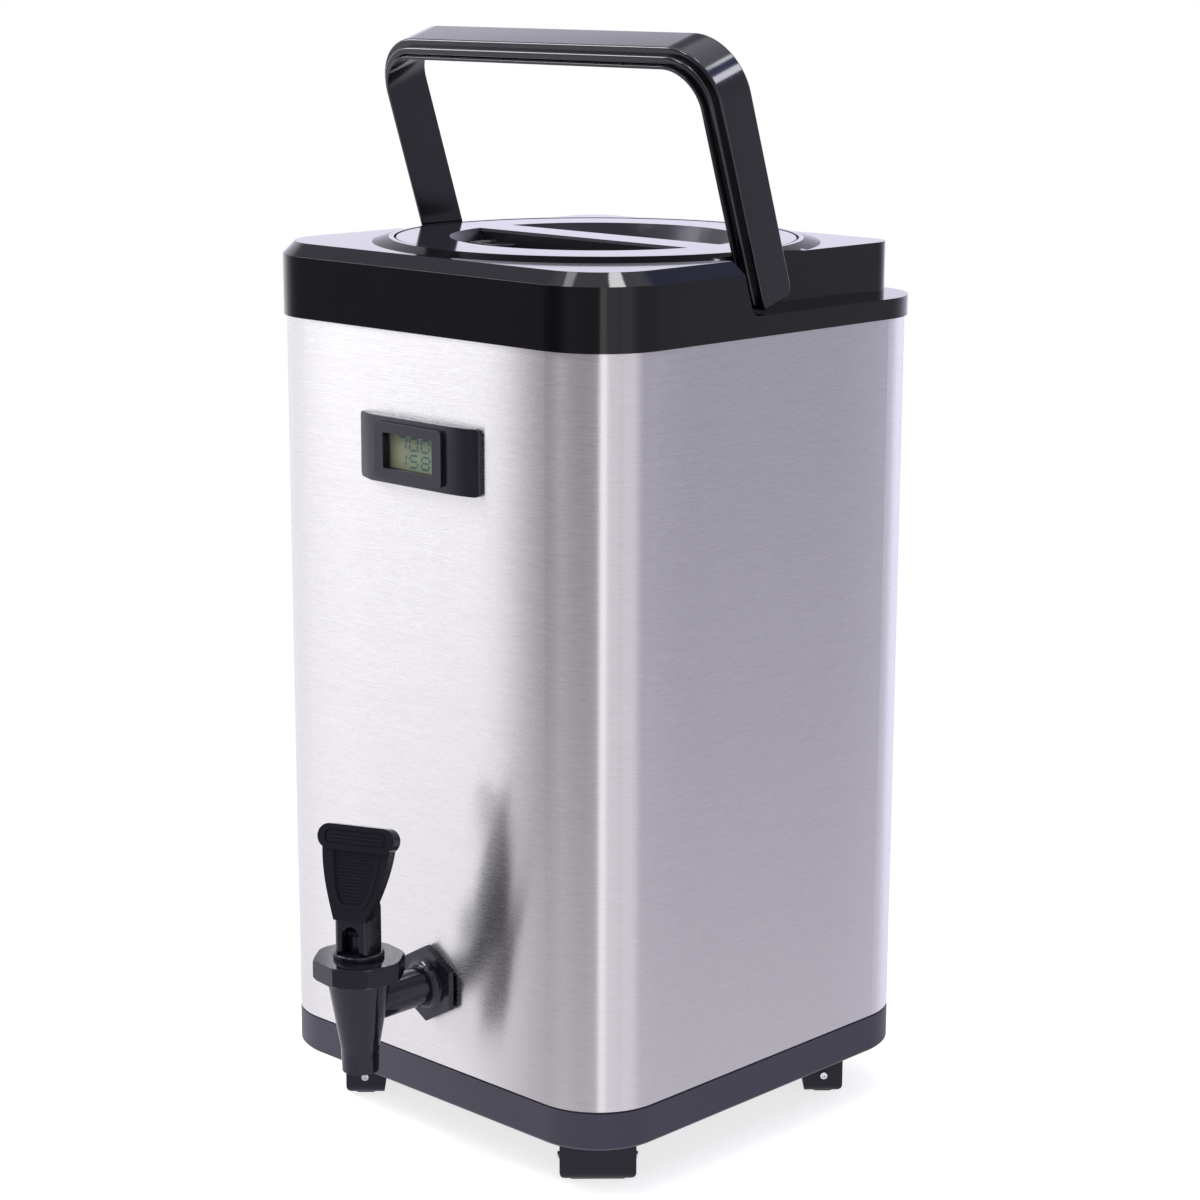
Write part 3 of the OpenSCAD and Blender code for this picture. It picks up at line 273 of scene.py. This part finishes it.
def polished_black(name, rough, shine, front_painted_shade=0.0, slope_painted_shade=0.0, skin=1.0, matt=0.0):
    """Gloss black moulding under a clear skin of a given weight.

    The skin is thinned on front faces by dulled and on gentle slopes by sloped, a painted shade that
    darkens them, and on all but level faces by matt, which also makes them rougher.
    """
    made, sheet = material(name)
    mottle, scuff = moulding_marks(sheet)
    wave = sheet.noise(70, 2.0)
    _, across, up = sheet.axes(sheet.facing())
    # Front faces lose their skin here: painted shade that darkens them
    front = (across * -1.0).between(0.9, 0.995)
    # Gentle slopes lose their skin too: painted shade
    slope_shade_mask = up.between(0.9, 0.94) - up.between(0.98, 0.995)
    bare = (1.0 - up.between(0.9, 0.98)) * matt
    sheet.surface(
        Base_Color=sheet.mix(mottle, (0.0035, 0.0034, 0.0048), (0.006, 0.0058, 0.0078)),
        Roughness=rough + bare * BARE_ROUGH + mottle * 0.04 + scuff * 0.05,
        Specular_IOR_Level=shine, Specular_Tint=COOL_SHEEN,
        Coat_Weight=(1.0 - front * front_painted_shade) * (1.0 - slope_shade_mask * slope_painted_shade) * (1.0 - bare) * skin,
        Coat_Roughness=rough,
        Normal=sheet.bump(wave, 0.03, 0.00012))
    return made


def rubber(name, tone):
    """Dull rubber or silicone with fine pores."""
    made, sheet = material(name)
    mottle = sheet.noise(60, 3.0)
    pore = sheet.noise(1900, 3.0, 0.65)
    pale = tuple(c * 1.5 + 0.006 for c in tone)
    sheet.surface(
        Base_Color=sheet.mix(mottle, tone, pale), Roughness=0.62 + mottle * 0.16,
        Specular_IOR_Level=0.35, Normal=sheet.bump(pore, 0.25, 0.00015))
    return made


def bright_metal(name, tone, rough):
    """Plain bright metal with fine swirls."""
    made, sheet = material(name)
    swirl = sheet.noise(900, 3.0, 0.6)
    pale = tuple(min(c * 1.12, 0.95) for c in tone)
    sheet.surface(
        Base_Color=sheet.mix(swirl, tone, pale), Metallic=1.0, Roughness=rough + swirl * 0.1,
        Normal=sheet.bump(swirl, 0.08, 0.00005))
    return made


def foam():
    """Poured foam, blotchy and full of cells."""
    made, sheet = material("poured_foam")
    cell = sheet.noise(700, 3.0, 0.6)
    blotch = sheet.noise(22, 2.0)
    sheet.surface(
        Base_Color=sheet.mix(blotch, (0.74, 0.64, 0.36), (0.86, 0.79, 0.55)),
        Roughness=0.85 + cell * 0.1, Normal=sheet.bump(cell, 0.6, 0.0006))
    return made


def display_glass():
    """Liquid crystal panel: grey green, slightly uneven, a little warmer at its left."""
    made, sheet = material("display_glass")
    x = sheet.axes(sheet.place())[0]
    cloud = sheet.noise(130, 2.0)
    side = x.between(-0.018, 0.016)
    tone = sheet.mix(side * 0.75 + cloud * 0.25, (0.325, 0.335, 0.205), (0.305, 0.375, 0.265))
    sheet.surface(Base_Color=tone, Roughness=0.3 + cloud * 0.08, Specular_IOR_Level=0.3,
                  Normal=sheet.bump(cloud, 0.02, 0.0002))
    return made


def display_ink():
    """The display's dark digits, a little uneven."""
    made, sheet = material("display_ink")
    cloud = sheet.noise(420, 2.0)
    sheet.surface(Base_Color=sheet.mix(cloud, (0.07, 0.15, 0.15), (0.11, 0.21, 0.19)),
                  Roughness=0.42 + cloud * 0.1, Specular_IOR_Level=0.2)
    return made


def clear_lens():
    """Thin clear plastic with a faint haze."""
    made, sheet = material("clear_lens")
    haze = sheet.noise(240, 2.0)
    sheet.surface(Base_Color=(0.03, 0.035, 0.03, 1), Roughness=0.05 + haze * 0.05,
                  Specular_IOR_Level=0.5, Alpha=0.1 + haze * 0.04)
    return made


def circuit_green():
    """Circuit board with paler tracks."""
    made, sheet = material("circuit_green")
    trace = sheet.noise((500, 90, 140), 1.0).between(0.52, 0.55)
    sheet.surface(Base_Color=sheet.mix(trace, (0.012, 0.085, 0.035), (0.03, 0.17, 0.07)),
                  Roughness=0.35 + trace * 0.1)
    return made


FINISHES = {
    "brushed_steel": brushed_steel(),
    "vessel_steel": bright_metal("vessel_steel", (0.7, 0.7, 0.71), rough=0.24),
    "foam": foam(),
    # Painted shade on the collar's and the handle's front faces, and on the collar's gentle slopes
    "collar_plastic": polished_black("collar_plastic", rough=0.08, shine=0.012, front_painted_shade=0.92, slope_painted_shade=1.0),
    "handle_plastic": polished_black("handle_plastic", rough=0.12, shine=0.3, front_painted_shade=0.7),
    "lid_plastic": polished_black("lid_plastic", rough=0.06, shine=0.45, skin=0.6, matt=0.92),
    "tap_plastic": plastic(
        "tap_plastic", (0.007, 0.0068, 0.0105), (0.0105, 0.0102, 0.0155), rough=0.08, shine=0.5),
    "base_plastic": plastic(
        "base_plastic", (0.057, 0.054, 0.074), (0.072, 0.069, 0.091), rough=0.46, shine=0.4, grain=0.12),
    "foot_plastic": plastic(
        "foot_plastic", (0.014, 0.014, 0.019), (0.022, 0.022, 0.028), rough=0.42, shine=0.4, grain=0.12),
    "gauge_plastic": plastic(
        "gauge_plastic", (0.008, 0.0077, 0.0115), (0.012, 0.0116, 0.017), rough=0.2, shine=0.5),
    "pad_rubber": rubber("pad_rubber", (0.006, 0.006, 0.007)),
    "gasket_rubber": rubber("gasket_rubber", (0.012, 0.012, 0.012)),
    "seal_silicone": rubber("seal_silicone", (0.52, 0.52, 0.5)),
    "screw_steel": bright_metal("screw_steel", (0.72, 0.72, 0.74), rough=0.16),
    "valve_plastic": plastic(
        "valve_plastic", (0.4, 0.4, 0.38), (0.5, 0.5, 0.47), rough=0.35, shine=0.4, grain=0.1),
    "lcd": display_glass(),
    "clear_lens": clear_lens(),
    "board": circuit_green(),
}


# Pieces

SLOTS = {part["node"]: part["material_slot"] for part in frame["record"]["subparts"]}
BODIES = {node: body for body, nodes in frame["record"]["behaviour"]["bodies"].items() for node in nodes}
WELD = 1e-6
ROUND_STEPS = 3
# Angles between faces, in degrees
SAME_FACE = 0.4
SMOOTH_BELOW = 12
ROUND_ABOVE = 28


def add_piece(name, mesh, body, slot, finish=None):
    """Puts a mesh in the scene as a piece of one body."""
    piece = bpy.data.objects.new(name, mesh)
    scene.collection.objects.link(piece)
    mesh.materials.clear()
    mesh.materials.append(finish or FINISHES[slot])
    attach(piece, body)
    return piece


def even_normals(piece):
    """Keeps flat faces flat in shade next to rounded edges."""
    fix = piece.modifiers.new("even_normals", "WEIGHTED_NORMAL")
    fix.keep_sharp = True
    fix.weight = 60


def softened(node, edge, smooth_to):
    """Stands for a node, with its outer edges rounded; other edges over smooth_to degrees stay sharp."""
    work = bmesh.new()
    work.from_mesh(frame["nodes"][node].data)
    bmesh.ops.remove_doubles(work, verts=work.verts, dist=WELD)
    bmesh.ops.dissolve_limit(
        work, angle_limit=math.radians(SAME_FACE), verts=work.verts, edges=work.edges)
    rounded = []
    for line in work.edges:
        bend = math.degrees(line.calc_face_angle()) if line.is_manifold else 180
        outer = line.is_manifold and line.is_convex and bend > ROUND_ABOVE
        line.smooth = outer or bend < smooth_to
        if outer:
            rounded.append(line)
    bmesh.ops.bevel(
        work, geom=rounded, offset=edge, offset_type="OFFSET", segments=ROUND_STEPS, profile=0.5,
        affect="EDGES", clamp_overlap=True, loop_slide=True)
    for face in work.faces:
        face.smooth = True
    mesh = bpy.data.meshes.new(node + "_soft")
    work.to_mesh(mesh)
    work.free()
    if "custom_normal" in mesh.attributes:
        mesh.attributes.remove(mesh.attributes["custom_normal"])
    piece = add_piece(node + "_soft", mesh, BODIES[node], SLOTS[node])
    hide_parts(node)
    even_normals(piece)


# Each node's edge rounding, in metres
EDGES = {
    "top_collar": 0.0009, "base_tray": 0.0003, "handle_bail": 0.0011, "handle_cover": 0.0005,
    "lid_top": 0.0007, "vent_lever": 0.0005, "tap_body": 0.0005, "tap_shank": 0.0006,
    "tap_bonnet": 0.0006, "lever_ring": 0.0004, "tap_lever": 0.0007, "thermometer_housing": 0.0005,
    "thermometer_bezel": 0.0007, "foot_front_left": 0.001, "foot_front_right": 0.001,
    "foot_back_left": 0.001, "foot_back_right": 0.001, "foot_bolts": 0.0002,
}
# Nodes with coarser round walls, which stay smooth up to this bend
FACETED = {"tap_shank": 26}

for node, solid in frame["nodes"].items():
    solid.data.materials.clear()
    solid.data.materials.append(FINISHES[SLOTS[node]])
for node, edge in EDGES.items():
    softened(node, edge, FACETED.get(node, SMOOTH_BELOW))


def tap_coil():
    """The tap's spring as a piece of its own; the share of it kept as the valve lifts is worked out, but
    not used.
    """
    joints = frame["record"]["behaviour"]["joints"]
    lift = next(joint["range_m"][1] for joint in joints if joint["name"] == "valve_lift")
    low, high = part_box("tap_spring")
    mesh = frame["nodes"]["tap_spring"].data.copy()
    coil = add_piece("tap_coil", mesh, BODIES["tap_spring"], SLOTS["tap_spring"])
    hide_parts("tap_spring")
    keep = 1 - lift / (high.z - low.z)
    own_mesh(coil)


tap_coil()


# Display

DIGIT_BARS = {"0": "abcdef", "1": "bc", "2": "abdeg", "3": "abcdg", "4": "bcfg", "5": "acdfg",
              "6": "acdefg", "7": "abc", "8": "abcdefg", "9": "abcdfg"}
DIGIT_W = 0.0052
DIGIT_H = 0.0056
DIGIT_GAP = 0.0026
STROKE = 0.0011
LEAN = 0.1
INK_T = 0.00006
# Shares of a stroke: what a bar leaves free at each end, and the point's length
BAR_FREE = 0.25
POINT_LENGTH = 1.6
# The point's place, as a share of the gap between digits
POINT_PLACE = 0.3
# What is free at the right of each row
ROW_INSET = 0.0074
# Each row's digits, and its foot's height over the panel's middle
DISPLAY_ROWS = (("70.0", 0.0011), ("158", -0.0068))


def bar_spot(letter):
    """Middle, length and direction of one bar, from the lower left of its digit."""
    level = {"a": DIGIT_H, "g": DIGIT_H / 2, "d": 0}
    if letter in level:
        return DIGIT_W / 2, level[letter], DIGIT_W, True
    side = 0 if letter in "ef" else DIGIT_W
    return side, DIGIT_H * (0.75 if letter in "bf" else 0.25), DIGIT_H / 2, False


def add_bar(work, corner, x, z, length, level):
    """One slim six-sided bar of a leaning digit, standing a little proud of the panel."""
    half = length / 2 - STROKE * BAR_FREE
    side = STROKE / 2
    tip = half - side
    rim = [(-half, 0), (-tip, side), (tip, side), (half, 0), (tip, -side), (-tip, -side)]
    verts = []
    for along, across in rim:
        dx, dz = (along, across) if level else (across, along)
        shift = Vector((x + dx + LEAN * (z + dz), 0, z + dz))
        verts.append(work.verts.new(corner + shift))
    raised = bmesh.ops.extrude_face_region(work, geom=[work.faces.new(verts)])["geom"]
    for vert in [part for part in raised if isinstance(part, bmesh.types.BMVert)]:
        vert.co.y -= INK_T


def display_row(work, text, right_end):
    """One row of digits, set from its right end."""
    corner = right_end.copy()
    for letter in reversed(text):
        if letter == ".":
            add_bar(work, corner, DIGIT_GAP * POINT_PLACE, 0, STROKE * POINT_LENGTH, True)
            continue
        corner.x -= DIGIT_W
        for bar in DIGIT_BARS[letter]:
            add_bar(work, corner, *bar_spot(bar))
        corner.x -= DIGIT_GAP


def display_digits():
    """The display's rows of digits, on the front of its panel."""
    low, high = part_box("lcd_panel")
    middle = (low.z + high.z) / 2
    work = bmesh.new()
    for text, rise in DISPLAY_ROWS:
        display_row(work, text, Vector((high.x - ROW_INSET, low.y, middle + rise)))
    bmesh.ops.recalc_face_normals(work, faces=work.faces)
    mesh = bpy.data.meshes.new("display_digits")
    work.to_mesh(mesh)
    work.free()
    add_piece("display_digits", mesh, BODIES["lcd_panel"], "lcd", display_ink())


display_digits()


# Studio

STUDIO_POWER = 2
FULL_WHITE = (1, 1, 1, 1)
WHITE = (1.0, 1.0, 1.02)
ROSE = (1.06, 1.0, 1.07)
LILAC = (1.03, 1.0, 1.19)
NAVY = (0.9, 1.0, 1.9)
# Angle from the front towards the right, brightness and tint
LEVEL_TONES = [
    (-180, 0.92, LILAC), (-136, 0.98, LILAC), (-95, 1.0, WHITE), (-62, 1.12, WHITE), (-46, 1.12, WHITE),
    (-42.5, 0.84, WHITE), (-38, 0.5, ROSE), (-33, 0.31, ROSE), (-27, 0.2, ROSE), (-4, 0.24, ROSE),
    (26, 0.18, ROSE), (43, 0.22, ROSE), (45.5, 1.3, WHITE), (51, 1.3, WHITE), (55, 0.7, ROSE),
    (67, 0.7, ROSE), (71, 0.6, ROSE), (75, 0.72, ROSE), (88, 0.7, ROSE), (99, 0.35, LILAC),
    (136, 0.33, LILAC), (158, 0.45, LILAC), (180, 0.9, LILAC)]
UPPER_TONES = [
    (-180, 0.2, LILAC), (-126, 0.2, LILAC), (-100, 0.3, LILAC), (-72, 0.45, LILAC), (-40, 0.6, WHITE),
    (0, 0.7, WHITE), (60, 0.6, WHITE), (100, 0.5, WHITE), (122, 0.4, NAVY), (163, 0.35, NAVY),
    (180, 0.2, LILAC)]
CEILING_TONE = (0.88, 0.86, 0.97)
GROUND_TONE = (0.86, 0.83, 0.88)
# Sines of the angles above or below level over which one set of tones runs into the next
UPPER_RISE = (0.37, 0.58)
CEILING_RISE = (0.72, 0.86)
GROUND_DROP = (0.24, 0.5)
FLOOR_RADIUS = 4
FLOOR_FADE = (0.2, 0.45)
FLOOR_GREY = (0.6, 0.6, 0.6, 1)
FLOOR_LIFT = 0.74


def tone_ring(sheet, turn, tones):
    """Tones set round the studio by their angle."""
    stops = []
    for angle, level, tint in tones:
        stops.append((angle / 360 + 0.5, tuple(level * c / STUDIO_POWER for c in tint)))
    return sheet.node("ShaderNodeValToRGB", {"stops": stops}, {"Fac": turn})


def studio_world():
    """Pale studio: bright at the left and behind, a narrow strip at the front right, dimmer higher up.

    Its ceiling and ground are pale again, and the camera sees plain white.
    """
    world = bpy.data.worlds.new("studio")
    scene.world = world
    sheet = Sheet(world)
    x, y, z = sheet.axes(sheet.node("ShaderNodeTexCoord", output="Generated"))
    turn = x.maths("ARCTAN2", x, y * -1.0) * (0.5 / math.pi) + 0.5
    level = tone_ring(sheet, turn, LEVEL_TONES)
    upper = tone_ring(sheet, turn, UPPER_TONES)
    ceiling, ground = [tuple(c / STUDIO_POWER for c in tone) for tone in (CEILING_TONE, GROUND_TONE)]
    studio = sheet.mix(z.between(*UPPER_RISE), level, upper)
    studio = sheet.mix(z.between(*CEILING_RISE), studio, ceiling)
    studio = sheet.mix((z * -1.0).between(*GROUND_DROP), studio, ground)
    seen = sheet.ray_is("Camera")
    white = sheet.node("ShaderNodeBackground", {}, {"Color": FULL_WHITE, "Strength": 1.0})
    lit = sheet.node("ShaderNodeBackground", {}, {"Color": studio, "Strength": float(STUDIO_POWER)})
    shown = sheet.node("ShaderNodeMixShader", {}, {0: seen, 1: lit, 2: white})
    sheet.node("ShaderNodeOutputWorld", {}, {"Surface": shown})


def floor_finish():
    """White floor: near the part it takes the shadow, further off it runs into the backdrop."""
    made, sheet = material("studio_floor")
    x, y, _ = sheet.axes(sheet.place())
    square = x * x + y * y
    far_off = square.maths("SQRT", square).between(*FLOOR_FADE)
    seen = sheet.ray_is("Camera")
    gloss = sheet.ray_is("Glossy")
    paper = sheet.node("ShaderNodeBsdfDiffuse", {}, {"Color": FLOOR_GREY})
    lift = sheet.node("ShaderNodeEmission", {}, {"Color": FULL_WHITE, "Strength": FLOOR_LIFT})
    lifted = sheet.node("ShaderNodeAddShader", {}, {0: paper, 1: lift})
    near = sheet.node("ShaderNodeMixShader", {}, {0: seen, 1: paper, 2: lifted})
    white = sheet.node("ShaderNodeEmission", {}, {"Color": FULL_WHITE, "Strength": 1.0})
    wide = sheet.node("ShaderNodeMixShader", {}, {0: far_off * seen, 1: near, 2: white})
    clear = sheet.node("ShaderNodeBsdfTransparent")
    shown = sheet.node("ShaderNodeMixShader", {}, {0: gloss, 1: wide, 2: clear})
    sheet.node("ShaderNodeOutputMaterial", {}, {"Surface": shown})
    return made


def studio_floor():
    """A round floor, wide enough for every view."""
    work = bmesh.new()
    bmesh.ops.create_circle(work, cap_ends=True, segments=96, radius=FLOOR_RADIUS)
    mesh = bpy.data.meshes.new("studio_floor")
    work.to_mesh(mesh)
    work.free()
    mesh.materials.append(floor_finish())
    floor = bpy.data.objects.new("studio_floor", mesh)
    scene.collection.objects.link(floor)


def soft_box(name, place, aim, size, power, mirrored=True):
    """A lamp of a width and height, aimed at a point; the camera never sees it, pieces may mirror it."""
    data = bpy.data.lights.new(name, "AREA")
    data.shape = "RECTANGLE"
    data.size, data.size_y = size
    data.energy = power
    lamp = bpy.data.objects.new(name, data)
    lamp.location = place
    lamp.rotation_euler = (Vector(aim) - Vector(place)).to_track_quat("-Z", "Y").to_euler()
    lamp.visible_glossy = mirrored
    lamp.visible_camera = False
    scene.collection.objects.link(lamp)


COLLAR_CORNER = (0.1, -0.1, 0.43)
HANDLE_CORNER = (0.1, -0.03, 0.51)
TAP = (0, -0.17, 0.15)
BODY_MIDDLE = (0, 0, 0.25)
FRONT_MIDDLE = (0, -0.1, 0.35)

studio_world()
studio_floor()
soft_box("key_box", (-1.5, -1.3, 1.9), BODY_MIDDLE, (1.8, 1.8), 22, mirrored=False)
soft_box("top_window", (0.32, 0.03, 1.49), COLLAR_CORNER, (0.2, 0.2), 1.5)
soft_box("top_glow", (-0.285, -0.364, 1.43), COLLAR_CORNER, (0.15, 0.15), 0.25)
soft_box("back_window", (0.88, 0.64, 1.22), HANDLE_CORNER, (0.2, 0.2), 0.9)
soft_box("back_slit", (0.56, 0.54, 1.45), HANDLE_CORNER, (0.1, 0.1), 0.2)
soft_box("front_window", (-0.17, -0.91, 1.33), TAP, (0.25, 0.4), 3)
soft_box("side_strip", (-1.11, -0.72, 1.25), FRONT_MIDDLE, (0.4, 0.9), 10)
place_camera()
